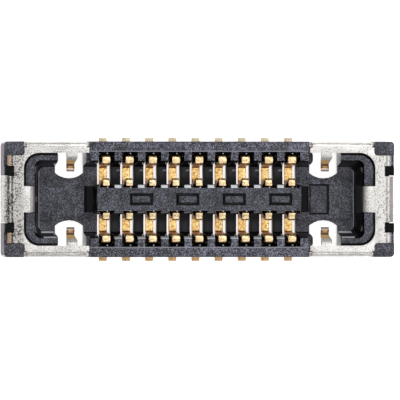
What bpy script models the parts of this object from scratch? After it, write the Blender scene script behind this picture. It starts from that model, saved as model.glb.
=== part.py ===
"""Receptacle half of a fine pitch board to board connector.

A moulded black housing carries two rows of formed spring contacts and, at each end, one folded
metal fitting whose spring fingers hang in the end openings. Lengths are in millimetres, and one
empty scales the model to metres. The origin is on the board, under the middle of the housing.
X runs along the rows, Y across them and Z up from the board.
"""

import math

import bmesh
import bpy
from mathutils import Vector

MM_TO_M = 0.001

# Fits and gaps
FIT = 0.01
RIM_GAP = 0.022
BEYOND = 0.1
ARC_STEPS = 6

# Whole connector
CONTACTS_PER_ROW = 9
PITCH = 0.35
END_LENGTH = 1.54
HALF_WIDTH = 0.865
FITTING_TOP = 0.56
LAST_CONTACT_X = (CONTACTS_PER_ROW - 1) / 2 * PITCH
HALF_LENGTH = LAST_CONTACT_X + END_LENGTH

# Housing
HOUSING_BOTTOM = 0.02
FLOOR_TOP = 0.14
RIM_DROP = 0.015
HOUSING_TOP = FITTING_TOP - RIM_DROP
CORNER_RADIUS = 0.06
EDGE_CHAMFER = 0.012
END_WALL = 0.54
SIDE_WALL = 0.365
CAVITY_X = HALF_LENGTH - END_WALL
CAVITY_Y = HALF_WIDTH - SIDE_WALL
CAVITY_FLARE = 0.055
CAVITY_FOOT = 0.015
LEAD_IN = 0.03
CAVITY_CORNER = 0.10
CENTRE_WALL_MARGIN = 0.255
CENTRE_WALL_X = LAST_CONTACT_X + CENTRE_WALL_MARGIN
OUTER_WALL = 0.155
STEP_LENGTH = 0.05
STEP_DROP = 0.02
STUB_LENGTH = 0.06
STUB_DROP = 0.09

# Island between the rows
ISLAND_OVERHANG = 0.155
ISLAND_X = LAST_CONTACT_X + ISLAND_OVERHANG
ISLAND_Y = 0.215
ISLAND_DROP = 0.04
ISLAND_TOP = HOUSING_TOP - ISLAND_DROP
ISLAND_END_CHAMFER = 0.018
ISLAND_SIDE_CHAMFER = 0.042
ISLAND_CHAMFER_DROP = 0.024
PANEL_LENGTH = 0.335
PANEL_WIDTH = 0.165
PANEL_GROOVE = 0.027
PANEL_DEPTH = 0.03
MARK_DIAMETER = 0.22
MARK_DEPTH = 0.01
MARK_SIDES = 16

# Openings around each contact
SLOT_WIDTH = 0.24
FLOOR_SLOT_WIDTH = 0.197
SLOT_LEDGE = 0.02
FLOOR_SLOT_INNER_Y = ISLAND_Y + FIT
FLOOR_SLOT_OUTER_Y = CAVITY_Y + SLOT_LEDGE
TONGUE_BRIDGE = 0.025
NOTCH_DEPTH = 0.045
NOTCH_Y = ISLAND_Y - NOTCH_DEPTH
WALL_SLOT_OUTER_Y = HALF_WIDTH - OUTER_WALL
TEETH_MARGIN = 0.018
TEETH_DROP = 0.012

# Contacts, one formed strip each
CONTACT_STOCK = 0.05
CONTACT_WIDTH = 0.12
BARB_WIDTH = SLOT_WIDTH - 2 * FIT
BARB_HEIGHT = 0.06
BARB_DROP = 0.04
TIP_WIDTH = 0.10
TAIL_REACH = 0.06
TAIL_BEND = 0.045
RISER_GAP = 0.0275
RISER_LEAN = 4.0
LEG_SPACING = 0.10
CONTACT_DROP = 0.045
CONTACT_TOP = HOUSING_TOP - CONTACT_DROP
CONTACT_LIFT = 0.01
LEG_LEAN = 5.0
SPRING_BEND = 0.045
ARM_GAP = 0.0115
ARM_LEAN = 16.5
NOSE_BEND = 0.035
NOSE_TURN = 90.0
TIP_LENGTH = 0.07
TIP_DROP = 0.015

# Openings and pockets at each end
OPENING_INSET = 0.48
OPENING_X = CAVITY_X - OPENING_INSET
OPENING_WIDTH = 0.425
OPENING_INNER_Y = 0.315
OPENING_OUTER_Y = WALL_SLOT_OUTER_Y + FIT
OPENING_SAG = 0.08
END_POCKET_LENGTH = 0.14
END_POCKET_Y = 0.195
END_POCKET_DEPTH = 0.09
KEY_POCKET_LENGTH = 0.30
KEY_POCKET_Y = 0.23
KEY_POCKET_DEPTH = 0.03
FLOOR_RISE_Y = 0.325
FLOOR_RISE_MARGIN = 0.03
FLOOR_RISE = 0.008

# End fittings, one folded sheet each
SHEET = 0.06
FOLD_RADIUS = 0.09
STRIP_START_X = CENTRE_WALL_X + FIT
BLOCK_LENGTH = 0.305
STRIP_END_X = HALF_LENGTH - BLOCK_LENGTH
STRIP_WIDTH = 0.17
STRIP_INNER_Y = HALF_WIDTH - STRIP_WIDTH
LEG_RELIEF = 0.035
PLATE_WIDTH = 0.29
PLATE_INNER_X = HALF_LENGTH - PLATE_WIDTH
PLATE_CORNER = 0.235
BLOCK_CORNER = 0.05
BLOCK_WIDTH = 0.21
BLOCK_Y = HALF_WIDTH - BLOCK_WIDTH
EDGE_SETBACK = 0.05
PLATE_EDGE_X = HALF_LENGTH - EDGE_SETBACK
BOSS_LENGTH = 0.15
BOSS_X = HALF_LENGTH - BOSS_LENGTH
BOSS_INNER_Y = 0.345
BOSS_WIDTH = 0.155
BOSS_OUTER_Y = BOSS_INNER_Y + BOSS_WIDTH
TAB_Y = 0.195
TAB_SETBACK = 0.075
TAB_FACE_X = CAVITY_X + TAB_SETBACK
TAB_BOTTOM = 0.22
FINGER_ROOT_WIDTH = 0.165
FINGER_TIP_WIDTH = 0.12
FINGER_ROOT_BEND = 0.09
FINGER_SLOPE = 68.0
FINGER_LENGTH = 0.19
FINGER_TIP_BEND = 0.035
FINGER_CURL = 50.0
FINGER_LIP = 0.03


def clear_scene():
    for item in list(bpy.data.objects):
        bpy.data.objects.remove(item)


def material(name, colour, roughness, metallic):
    made = bpy.data.materials.new(name)
    made.use_nodes = True
    shader = made.node_tree.nodes["Principled BSDF"]
    shader.inputs["Base Color"].default_value = (*colour, 1.0)
    shader.inputs["Roughness"].default_value = roughness
    shader.inputs["Metallic"].default_value = metallic
    return made


def place(name, mesh, root):
    made = bpy.data.objects.new(name, mesh)
    bpy.context.scene.collection.objects.link(made)
    made.parent = root
    return made


def mesh_of(name, shape, finish=None):
    """A mesh made from this bmesh, with all its faces turned outwards."""
    bmesh.ops.recalc_face_normals(shape, faces=shape.faces)
    mesh = bpy.data.meshes.new(name)
    shape.to_mesh(mesh)
    shape.free()
    if finish:
        mesh.materials.append(finish)
    return mesh


# Outlines and solids

def arc(centre_x, centre_y, radius, start, end, steps=ARC_STEPS):
    """Points on a circle from one angle to another, in degrees."""
    angles = [math.radians(start + (end - start) * step / steps) for step in range(steps + 1)]
    return [(centre_x + radius * math.cos(a), centre_y + radius * math.sin(a)) for a in angles]


def rounded_rectangle(half_x, half_y, radius):
    points = []
    for side_x, side_y, start in ((1, 1, 0), (-1, 1, 90), (-1, -1, 180), (1, -1, 270)):
        centre_x = side_x * (half_x - radius)
        centre_y = side_y * (half_y - radius)
        points += arc(centre_x, centre_y, radius, start, start + 90)
    return points


def join_rings(shape, first, second):
    """Faces between two rings of vertices with equal counts."""
    count = len(first)
    for i in range(count):
        j = (i + 1) % count
        shape.faces.new((first[i], first[j], second[j], second[i]))


def add_loft(shape, levels):
    """Adds a closed solid through outlines with equal numbers of points, each at its height."""
    rings = [[shape.verts.new((x, y, height)) for x, y in outline] for height, outline in levels]
    shape.faces.new(rings[0])
    shape.faces.new(rings[-1])
    for lower, upper in zip(rings, rings[1:]):
        join_rings(shape, lower, upper)


def loft(levels):
    shape = bmesh.new()
    add_loft(shape, levels)
    return shape


def boxes(extents):
    """Separate boxes in one shape, each given by its lowest and highest x, y and z."""
    shape = bmesh.new()
    for x0, x1, y0, y1, z0, z1 in extents:
        outline = [(x0, y0), (x1, y0), (x1, y1), (x0, y1)]
        add_loft(shape, [(z0, outline), (z1, outline)])
    return shape


def combine(target, shape, name, operation="DIFFERENCE"):
    """Cuts a shape from the target, or joins it on, with a Boolean whose tool isn't rendered."""
    tool = place(name, mesh_of(name, shape), target.parent)
    tool.hide_render = True
    tool.display_type = "WIRE"
    boolean = target.modifiers.new(name, "BOOLEAN")
    boolean.operation = operation
    boolean.solver = "EXACT"
    boolean.object = tool


# Bend lines: lists of stations, each (across, up, heading in degrees, width)

def straight(line, length, width=None):
    across, up, heading, old_width = line[-1]
    angle = math.radians(heading)
    new_width = old_width if width is None else width
    line.append((across + length * math.cos(angle), up + length * math.sin(angle), heading, new_width))


def bend(line, radius, degrees, width=None, steps=ARC_STEPS):
    """Turns the line left by so many degrees, or right where they are negative."""
    across, up, heading, old_width = line[-1]
    side = math.copysign(90.0, degrees)
    to_centre = math.radians(heading + side)
    centre_across = across + radius * math.cos(to_centre)
    centre_up = up + radius * math.sin(to_centre)
    new_width = old_width if width is None else width
    for step in range(1, steps + 1):
        share = step / steps
        new_heading = heading + degrees * share
        spoke = math.radians(new_heading - side)
        across = centre_across + radius * math.cos(spoke)
        up = centre_up + radius * math.sin(spoke)
        line.append((across, up, new_heading, old_width + (new_width - old_width) * share))


# Contacts

def riser_y():
    """The middle of the strip where it rises through the floor of the wall slot."""
    return WALL_SLOT_OUTER_Y - RISER_GAP - CONTACT_STOCK / 2


def contact_line():
    """The middle line of one contact's strip, from the tail's end to the tip of the spring arm."""
    half_stock = CONTACT_STOCK / 2
    tail_end = HALF_WIDTH + TAIL_REACH
    line = [(tail_end, half_stock, 180.0, CONTACT_WIDTH)]
    straight(line, tail_end - riser_y() - TAIL_BEND)
    bend(line, TAIL_BEND, -90)

    straight(line, FLOOR_TOP + SLOT_LEDGE + FIT - line[-1][1])
    bend(line, TAIL_BEND, RISER_LEAN, steps=2)
    crown_radius = LEG_SPACING / 2
    lean = math.radians(RISER_LEAN)
    crown_start = CONTACT_TOP - half_stock - crown_radius * (1 - math.sin(lean))
    rise = (crown_start - line[-1][1]) / math.cos(lean)
    straight(line, rise - BARB_HEIGHT - BARB_DROP)
    straight(line, BARB_HEIGHT / 3, BARB_WIDTH)
    straight(line, BARB_HEIGHT / 3)
    straight(line, BARB_HEIGHT / 3, CONTACT_WIDTH)
    straight(line, BARB_DROP)
    bend(line, crown_radius, 180 - LEG_LEAN - RISER_LEAN, steps=2 * ARC_STEPS)

    trough = CONTACT_LIFT + half_stock
    descent = math.radians(90 - LEG_LEAN)
    leg_drop = line[-1][1] - trough - SPRING_BEND * (1 - math.cos(descent))
    straight(line, leg_drop / math.sin(descent))
    bend(line, SPRING_BEND, LEG_LEAN - 90)

    arm_y = NOTCH_Y + ARM_GAP + half_stock
    arm_bend_reach = SPRING_BEND * math.cos(math.radians(ARM_LEAN))
    straight(line, line[-1][0] - arm_y - arm_bend_reach)
    bend(line, SPRING_BEND, -90 - ARM_LEAN)

    arm_heading = math.radians(line[-1][2])
    tip_heading = math.radians(line[-1][2] + NOSE_TURN)
    nose_rise = NOSE_BEND * (math.cos(arm_heading) - math.cos(tip_heading))
    tip_rise = TIP_LENGTH * math.sin(tip_heading)
    arm_rise = CONTACT_TOP - TIP_DROP - half_stock - line[-1][1] - nose_rise - tip_rise
    straight(line, arm_rise / math.sin(arm_heading))
    bend(line, NOSE_BEND, NOSE_TURN, TIP_WIDTH)
    straight(line, TIP_LENGTH)
    return line


def contact_shape():
    """The contact's strip: its rectangular section swept along the line."""
    shape = bmesh.new()
    rings = []
    for across, up, heading, width in contact_line():
        normal = math.radians(heading + 90)
        step_y = CONTACT_STOCK / 2 * math.cos(normal)
        step_z = CONTACT_STOCK / 2 * math.sin(normal)
        corners = ((-1, 1), (1, 1), (1, -1), (-1, -1))
        places = [(s * width / 2, across + n * step_y, up + n * step_z) for s, n in corners]
        rings.append([shape.verts.new(spot) for spot in places])
    shape.faces.new(rings[0])
    shape.faces.new(rings[-1])
    for first, second in zip(rings, rings[1:]):
        join_rings(shape, first, second)
    return shape


def contact_places():
    """The middle of each contact along X."""
    return [number * PITCH - LAST_CONTACT_X for number in range(CONTACTS_PER_ROW)]


def add_contacts(root, finish):
    """The rows of contacts. The front row is the rear one turned half round."""
    mesh = mesh_of("contact", contact_shape(), finish)
    for row, turn in (("rear", 0.0), ("front", math.pi)):
        for number, x in enumerate(contact_places(), start=1):
            contact = place(f"contact_{row}_{number}", mesh, root)
            contact.location.x = x
            contact.rotation_euler.z = turn


# End fittings

def fitting_outline(grow, rim_grow, side_y, lip_x, edge_x, tab_x):
    """The flat part of the right-hand fitting seen from above.

    It is grown by rim_grow at the rim of the cavity and by grow elsewhere. side_y, lip_x, edge_x
    and tab_x say how far it reaches at the side legs, the end leg, beside the bosses and at the tab.
    """
    inner_x = PLATE_INNER_X - rim_grow
    inner_y = STRIP_INNER_Y - rim_grow
    start_x = STRIP_START_X - grow
    block_x = STRIP_END_X + grow
    block_y = BLOCK_Y + grow
    boss_x = BOSS_X + grow
    half = [(tab_x, TAB_Y + grow), (inner_x, TAB_Y + grow)]
    half += arc(inner_x - PLATE_CORNER, inner_y - PLATE_CORNER, PLATE_CORNER, 0, 90)
    half += [(OPENING_X + FINGER_ROOT_WIDTH / 2, inner_y), (OPENING_X - FINGER_ROOT_WIDTH / 2, inner_y)]
    half += [(start_x, inner_y), (start_x, side_y)]
    half += [(STRIP_START_X + LEG_RELIEF, side_y), (STRIP_END_X - LEG_RELIEF, side_y), (block_x, side_y)]
    half += arc(block_x + BLOCK_CORNER, block_y + BLOCK_CORNER, BLOCK_CORNER, 180, 270)
    half += [(edge_x, block_y), (edge_x, BOSS_OUTER_Y - grow), (boss_x, BOSS_OUTER_Y - grow)]
    half += [(boss_x, BOSS_INNER_Y + grow), (lip_x, BOSS_INNER_Y + grow)]
    return half + [(x, -y) for x, y in reversed(half)]


def fold(sheet, x, y, outward, line):
    """Extrudes the plate's edge whose middle is nearest to x, y along a bend line."""
    spot = Vector((x, y))
    edge = min(sheet.edges, key=lambda e: ((e.verts[0].co + e.verts[1].co).xy / 2 - spot).length)
    root = (edge.verts[0].co + edge.verts[1].co) / 2
    along = (edge.verts[1].co - edge.verts[0].co).normalized()
    for across, up, _, width in line[1:]:
        made = bmesh.ops.extrude_edge_only(sheet, edges=[edge])["geom"]
        edge = next(item for item in made if isinstance(item, bmesh.types.BMEdge))
        middle = root + Vector(outward) * across
        middle.z += up
        for vert in edge.verts:
            side = math.copysign(0.5, (vert.co - root).dot(along))
            vert.co = middle + along * (side * width)


def leg_line(width, bottom):
    """A fold of a quarter turn, then straight down to a height."""
    line = [(0.0, 0.0, 0.0, width)]
    bend(line, FOLD_RADIUS, -90)
    straight(line, FITTING_TOP - FOLD_RADIUS - bottom)
    return line


def finger_line():
    """The spring finger: down and in from the strip, with its tip curled back up."""
    line = [(0.0, 0.0, 0.0, FINGER_ROOT_WIDTH)]
    bend(line, FINGER_ROOT_BEND, -FINGER_SLOPE)
    straight(line, FINGER_LENGTH, FINGER_TIP_WIDTH)
    bend(line, FINGER_TIP_BEND, FINGER_SLOPE + FINGER_CURL)
    straight(line, FINGER_LIP)
    return line


def fitting_skin():
    """The upper skin of the right-hand fitting: a plate with its legs, tab and fingers folded."""
    sheet = bmesh.new()
    outline = fitting_outline(
        grow=0.0,
        rim_grow=0.0,
        side_y=HALF_WIDTH - FOLD_RADIUS,
        lip_x=HALF_LENGTH - FOLD_RADIUS,
        edge_x=PLATE_EDGE_X,
        tab_x=TAB_FACE_X + FOLD_RADIUS,
    )
    sheet.faces.new([sheet.verts.new((x, y, FITTING_TOP)) for x, y in outline])
    leg_middle = (STRIP_START_X + STRIP_END_X) / 2
    leg_width = STRIP_END_X - STRIP_START_X - 2 * LEG_RELIEF
    for side in (1, -1):
        fold(sheet, leg_middle, side * HALF_WIDTH, (0, side, 0), leg_line(leg_width, 0.0))
        fold(sheet, OPENING_X, side * STRIP_INNER_Y, (0, -side, 0), finger_line())
    fold(sheet, HALF_LENGTH, 0.0, (1, 0, 0), leg_line(2 * BOSS_INNER_Y, 0.0))
    fold(sheet, TAB_FACE_X, 0.0, (-1, 0, 0), leg_line(2 * TAB_Y, TAB_BOTTOM))
    return sheet


def add_fittings(root, finish):
    """Both end fittings. The left one is the right one turned half round."""
    mesh = mesh_of("hold_down", fitting_skin(), finish)
    for name, turn in (("hold_down_right", 0.0), ("hold_down_left", math.pi)):
        fitting = place(name, mesh, root)
        fitting.rotation_euler.z = turn
        thickness = fitting.modifiers.new("sheet", "SOLIDIFY")
        thickness.thickness = SHEET
        thickness.offset = -1.0
        thickness.use_even_offset = True


# Housing

def outer_block():
    """The housing before it is cut: its outline seen from above, with chamfered edges."""
    full = rounded_rectangle(HALF_LENGTH, HALF_WIDTH, CORNER_RADIUS)
    inset_x = HALF_LENGTH - EDGE_CHAMFER
    inset_y = HALF_WIDTH - EDGE_CHAMFER
    inset = rounded_rectangle(inset_x, inset_y, CORNER_RADIUS - EDGE_CHAMFER)
    bottom_edge = HOUSING_BOTTOM + EDGE_CHAMFER
    top_edge = HOUSING_TOP - EDGE_CHAMFER
    return loft([(HOUSING_BOTTOM, inset), (bottom_edge, full), (top_edge, full), (HOUSING_TOP, inset)])


def cavity_ring(extra):
    return rounded_rectangle(CAVITY_X + extra, CAVITY_Y + extra, CAVITY_CORNER)


def cavity():
    """The mating cavity: chamfered round its foot, flared, and with a lead-in round the rim."""
    mouth = cavity_ring(CAVITY_FLARE + LEAD_IN)
    levels = [(FLOOR_TOP, cavity_ring(-CAVITY_FOOT)), (FLOOR_TOP + CAVITY_FOOT, cavity_ring(0.0))]
    levels.append((HOUSING_TOP - 2 * LEAD_IN, cavity_ring(CAVITY_FLARE)))
    return loft(levels + [(HOUSING_TOP, mouth), (HOUSING_TOP + BEYOND, mouth)])


def raised_floor():
    """The middle of the floor, which stands a little proud of the strips along its sides."""
    outline = rounded_rectangle(CAVITY_X - FLOOR_RISE_MARGIN, FLOOR_RISE_Y, ISLAND_END_CHAMFER)
    return loft([((HOUSING_BOTTOM + FLOOR_TOP) / 2, outline), (FLOOR_TOP + FLOOR_RISE, outline)])


def island():
    """The bar between the rows, rooted in the floor. Its top slopes down a little along both sides."""
    full = rounded_rectangle(ISLAND_X, ISLAND_Y, ISLAND_END_CHAMFER)
    inset_x = ISLAND_X - ISLAND_END_CHAMFER
    inset_y = ISLAND_Y - ISLAND_SIDE_CHAMFER
    inset = rounded_rectangle(inset_x, inset_y, ISLAND_END_CHAMFER)
    foot = (HOUSING_BOTTOM + FLOOR_TOP) / 2
    return loft([(foot, full), (ISLAND_TOP - ISLAND_CHAMFER_DROP, full), (ISLAND_TOP, inset)])


def marking_places():
    """Every second gap between contacts, where the island has a panel, and the gaps between them."""
    gaps = [x + PITCH / 2 for x in contact_places()[:-1]]
    return gaps[1::2], gaps[0::2]


def island_panels():
    """A groove round each panel on the island's top."""
    shape = bmesh.new()
    panels, _ = marking_places()
    for x in panels:
        rings = []
        for half_x, half_y in (
            (PANEL_LENGTH / 2, PANEL_WIDTH / 2),
            (PANEL_LENGTH / 2 - PANEL_GROOVE, PANEL_WIDTH / 2 - PANEL_GROOVE),
        ):
            corners = ((-half_x, -half_y), (half_x, -half_y), (half_x, half_y), (-half_x, half_y))
            for height in (ISLAND_TOP - PANEL_DEPTH, ISLAND_TOP + BEYOND):
                rings.append([shape.verts.new((x + across, y, height)) for across, y in corners])
        outer_low, outer_high, inner_low, inner_high = rings
        join_rings(shape, outer_low, outer_high)
        join_rings(shape, inner_low, inner_high)
        join_rings(shape, outer_low, inner_low)
        join_rings(shape, outer_high, inner_high)
    return shape


def ejector_marks():
    """The round marks that the mould's ejector pins leave between the panels."""
    shape = bmesh.new()
    _, marks = marking_places()
    for x in marks:
        outline = arc(x, 0.0, MARK_DIAMETER / 2, 0, 360, MARK_SIDES)[:-1]
        add_loft(shape, [(ISLAND_TOP - MARK_DEPTH, outline), (ISLAND_TOP + BEYOND, outline)])
    return shape


def both_rows(width, inner_y, outer_y, bottom, top):
    """One box for each contact of both rows."""
    found = []
    for x in contact_places():
        found.append((x - width / 2, x + width / 2, inner_y, outer_y, bottom, top))
        found.append((x - width / 2, x + width / 2, -outer_y, -inner_y, bottom, top))
    return boxes(found)


def four_corners(x0, x1, y0, y1, z0, z1):
    """One box, given for the rear right quarter, and its copies in the other three."""
    found = []
    for left, right in ((x0, x1), (-x1, -x0)):
        for front, rear in ((y0, y1), (-y1, -y0)):
            found.append((left, right, front, rear, z0, z1))
    return boxes(found)


def tongue_windows(inner_x, outer_y, top):
    """Two openings in each wall slot's floor. They leave a tongue that backs the contact's inner leg."""
    outer_x = FLOOR_SLOT_WIDTH / 2
    inner_y = CAVITY_Y
    found = []
    for x in contact_places():
        for left, right in ((x - outer_x, x - inner_x), (x + inner_x, x + outer_x)):
            found.append((left, right, inner_y, outer_y, -BEYOND, top))
            found.append((left, right, -outer_y, -inner_y, -BEYOND, top))
    return boxes(found)


def cut_contact_slots(housing):
    """Floor opening, wall slot, island notch, riser slot and tail notch of every contact."""
    above = HOUSING_TOP + BEYOND
    ledge = FLOOR_TOP + SLOT_LEDGE
    riser_inner = riser_y() - CONTACT_STOCK / 2 - FIT
    riser_outer = riser_y() + CONTACT_STOCK / 2 + FIT
    close_width = CONTACT_WIDTH + 2 * FIT
    foot_outer = FLOOR_SLOT_INNER_Y + FIT
    wall_inner = FLOOR_SLOT_OUTER_Y - SLOT_LEDGE
    island_outer = ISLAND_Y + SLOT_LEDGE
    tail_outer = HALF_WIDTH + BEYOND
    tail_top = CONTACT_STOCK + FIT
    for name, width, inner_y, outer_y, bottom, top in (
        ("floor_slots", FLOOR_SLOT_WIDTH, FLOOR_SLOT_INNER_Y, FLOOR_SLOT_OUTER_Y, -BEYOND, ledge),
        ("foot_pockets", close_width, NOTCH_Y, foot_outer, -BEYOND, ledge + FIT),
        ("wall_slots", SLOT_WIDTH, wall_inner, WALL_SLOT_OUTER_Y, ledge, above),
        ("island_notches", SLOT_WIDTH, NOTCH_Y, island_outer, ledge, above),
        ("riser_slots", close_width, riser_inner, riser_outer, -BEYOND, ledge + FIT),
        ("tail_notches", close_width, riser_inner, tail_outer, -BEYOND, tail_top),
    ):
        combine(housing, both_rows(width, inner_y, outer_y, bottom, top), name)
    windows = tongue_windows(close_width / 2, riser_inner - TONGUE_BRIDGE, ledge + FIT)
    combine(housing, windows, "tongue_windows")


def end_openings():
    """The four D-shaped openings through the floor and inner walls, one under each finger."""
    half = OPENING_WIDTH / 2
    radius = (half**2 + OPENING_SAG**2) / (2 * OPENING_SAG)
    reach = math.degrees(math.asin(half / radius))
    shape = bmesh.new()
    for side_x in (1, -1):
        for side_y in (1, -1):
            middle = side_x * OPENING_X
            curve = arc(middle, OPENING_INNER_Y + radius, radius, 270 - reach, 270 + reach)
            outline = curve + [(middle + half, OPENING_OUTER_Y), (middle - half, OPENING_OUTER_Y)]
            outline = [(x, side_y * y) for x, y in outline]
            add_loft(shape, [(-BEYOND, outline), (HOUSING_TOP + BEYOND, outline)])
    return shape


def end_pockets():
    """The deep pocket in the floor at each end of the island."""
    found = []
    for side in (1, -1):
        x0, x1 = sorted((side * ISLAND_X, side * (ISLAND_X + END_POCKET_LENGTH)))
        bottom = FLOOR_TOP - END_POCKET_DEPTH
        found.append((x0, x1, -END_POCKET_Y, END_POCKET_Y, bottom, FLOOR_TOP + BEYOND))
    return boxes(found)


def key_pocket():
    """The wide shallow pocket beside the deep one at the right end."""
    x0 = ISLAND_X + END_POCKET_LENGTH + FIT
    x1 = x0 + KEY_POCKET_LENGTH
    bottom = FLOOR_TOP - KEY_POCKET_DEPTH
    return boxes([(x0, x1, -KEY_POCKET_Y, KEY_POCKET_Y, bottom, FLOOR_TOP + BEYOND)])


def fitting_seat(side):
    """The room that one end fitting's flat part takes above the plastic."""
    far_y = HALF_WIDTH + BEYOND
    far_x = HALF_LENGTH + BEYOND
    outline = fitting_outline(FIT, RIM_GAP, side_y=far_y, lip_x=far_x, edge_x=far_x, tab_x=CAVITY_X)
    outline = [(side * x, y) for x, y in outline]
    return loft([(FITTING_TOP - SHEET - FIT, outline), (FITTING_TOP + BEYOND, outline)])


def fitting_reliefs(side):
    """Room for the folded parts of one fitting: side legs, end leg and inner tab."""
    skin = SHEET + FIT
    leg_x0 = STRIP_START_X - FIT
    leg_x1 = STRIP_END_X + FIT
    lip_y = BOSS_INNER_Y + FIT
    tab_y = TAB_Y + FIT
    outer_y = HALF_WIDTH + BEYOND
    found = [
        (leg_x0, leg_x1, HALF_WIDTH - skin, outer_y, -BEYOND, HOUSING_TOP),
        (leg_x0, leg_x1, -outer_y, skin - HALF_WIDTH, -BEYOND, HOUSING_TOP),
        (HALF_LENGTH - skin, HALF_LENGTH + BEYOND, -lip_y, lip_y, -BEYOND, HOUSING_TOP),
        (CAVITY_X - FIT, TAB_FACE_X + skin, -tab_y, tab_y, TAB_BOTTOM - FIT, HOUSING_TOP),
    ]
    turned = [(*sorted((side * x0, side * x1)), *rest) for x0, x1, *rest in found]
    return boxes(turned)


def cut_wall_steps(housing):
    """The lowered teeth and ends of the centre walls and the low stubs beside the end openings."""
    above = HOUSING_TOP + BEYOND
    teeth_y = WALL_SLOT_OUTER_Y + TEETH_MARGIN
    teeth_top = HOUSING_TOP - TEETH_DROP
    teeth = []
    for front, rear in ((CAVITY_Y, teeth_y), (-teeth_y, -CAVITY_Y)):
        teeth.append((-CENTRE_WALL_X, CENTRE_WALL_X, front, rear, teeth_top, above))
    combine(housing, boxes(teeth), "lowered_teeth")
    wall_end = CENTRE_WALL_X + FIT
    outer_y = HALF_WIDTH + BEYOND
    step = (CENTRE_WALL_X - STEP_LENGTH, wall_end, WALL_SLOT_OUTER_Y, outer_y, HOUSING_TOP - STEP_DROP, above)
    combine(housing, four_corners(*step), "wall_end_steps")
    stub_x = CENTRE_WALL_X - FIT
    inner_y = CAVITY_Y - SLOT_LEDGE
    rim_y = STRIP_INNER_Y - RIM_GAP + FIT
    stub = (stub_x, stub_x + STUB_LENGTH, inner_y, rim_y, HOUSING_TOP - STUB_DROP, above)
    combine(housing, four_corners(*stub), "wall_stubs")


def add_housing(root, finish):
    housing = place("housing", mesh_of("housing", outer_block(), finish), root)
    combine(housing, cavity(), "mating_cavity")
    combine(housing, raised_floor(), "raised_floor", "UNION")
    combine(housing, end_pockets(), "end_pockets")
    combine(housing, key_pocket(), "key_pocket")
    combine(housing, island(), "island", "UNION")
    cut_contact_slots(housing)
    combine(housing, end_openings(), "end_openings")
    for side, name in ((1, "right"), (-1, "left")):
        combine(housing, fitting_seat(side), f"{name}_fitting_seat")
        combine(housing, fitting_reliefs(side), f"{name}_fitting_reliefs")
    cut_wall_steps(housing)
    combine(housing, island_panels(), "island_panels")
    combine(housing, ejector_marks(), "ejector_marks")


def main():
    clear_scene()
    root = bpy.data.objects.new("connector", None)
    root.scale = (MM_TO_M, MM_TO_M, MM_TO_M)
    bpy.context.scene.collection.objects.link(root)
    add_housing(root, material("black_plastic", (0.022, 0.024, 0.03), 0.5, 0.0))
    add_contacts(root, material("gold_plating", (0.9, 0.62, 0.27), 0.25, 1.0))
    add_fittings(root, material("pale_plating", (0.66, 0.64, 0.6), 0.38, 1.0))


main()
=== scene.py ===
"""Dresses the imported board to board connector: its moulded housing, its two rows of gold plated
contacts and its two plated end fittings, on a white light table under soft studio light.
"""

import math

import bmesh
import bpy
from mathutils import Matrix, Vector


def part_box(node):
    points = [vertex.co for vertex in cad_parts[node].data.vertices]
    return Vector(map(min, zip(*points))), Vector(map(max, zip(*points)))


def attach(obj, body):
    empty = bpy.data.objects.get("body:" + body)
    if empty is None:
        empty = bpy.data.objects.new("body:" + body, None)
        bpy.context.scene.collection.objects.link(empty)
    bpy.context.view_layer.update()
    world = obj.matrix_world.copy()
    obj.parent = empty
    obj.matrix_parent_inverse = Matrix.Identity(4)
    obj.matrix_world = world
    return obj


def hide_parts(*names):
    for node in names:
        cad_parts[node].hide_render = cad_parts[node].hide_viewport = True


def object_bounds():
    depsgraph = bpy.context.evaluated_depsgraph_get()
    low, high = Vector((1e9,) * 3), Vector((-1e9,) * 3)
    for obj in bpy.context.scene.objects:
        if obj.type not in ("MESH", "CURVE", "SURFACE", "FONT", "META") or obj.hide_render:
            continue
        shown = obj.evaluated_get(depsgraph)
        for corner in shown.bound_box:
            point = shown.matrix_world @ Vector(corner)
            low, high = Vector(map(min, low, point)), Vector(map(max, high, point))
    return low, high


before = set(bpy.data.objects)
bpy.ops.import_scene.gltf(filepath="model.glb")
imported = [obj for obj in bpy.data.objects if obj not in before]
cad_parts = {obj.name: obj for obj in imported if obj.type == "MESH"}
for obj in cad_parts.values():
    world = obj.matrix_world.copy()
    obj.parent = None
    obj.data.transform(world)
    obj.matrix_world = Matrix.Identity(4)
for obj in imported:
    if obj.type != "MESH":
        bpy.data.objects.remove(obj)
cad_low, cad_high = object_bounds()

# The view
# A long lens looks down on the mating side. It leans a little to the left end, so that the faces that
# look to the left show and high edges stand a few pixels further right than low ones.

LENS_MM = 1000.0
SENSOR_MM = 36.0
FRAME_WIDTH = 0.006
CAMERA_LEAN = math.radians(7.3)
AIM = (0.0000725, -0.0000105, 0.0)

camera_data = bpy.data.cameras.new("camera")
camera_data.lens = LENS_MM
camera_data.sensor_width = SENSOR_MM
camera = bpy.data.objects.new("camera", camera_data)
bpy.context.scene.collection.objects.link(camera)
distance = FRAME_WIDTH * LENS_MM / SENSOR_MM
camera_data.clip_start = distance / 20
camera_data.clip_end = distance * 20
camera.rotation_euler = (0.0, -CAMERA_LEAN, 0.0)
camera.location = (
    AIM[0] - distance * math.sin(CAMERA_LEAN),
    AIM[1],
    AIM[2] + distance * math.cos(CAMERA_LEAN),
)
bpy.context.scene.camera = camera

# The housing
# One injection moulding in black, mineral filled liquid crystal polymer: floor, walls, island and corner
# blocks together. The tool leaves every edge very slightly rounded and the faces with a fine satin grain.

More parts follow.
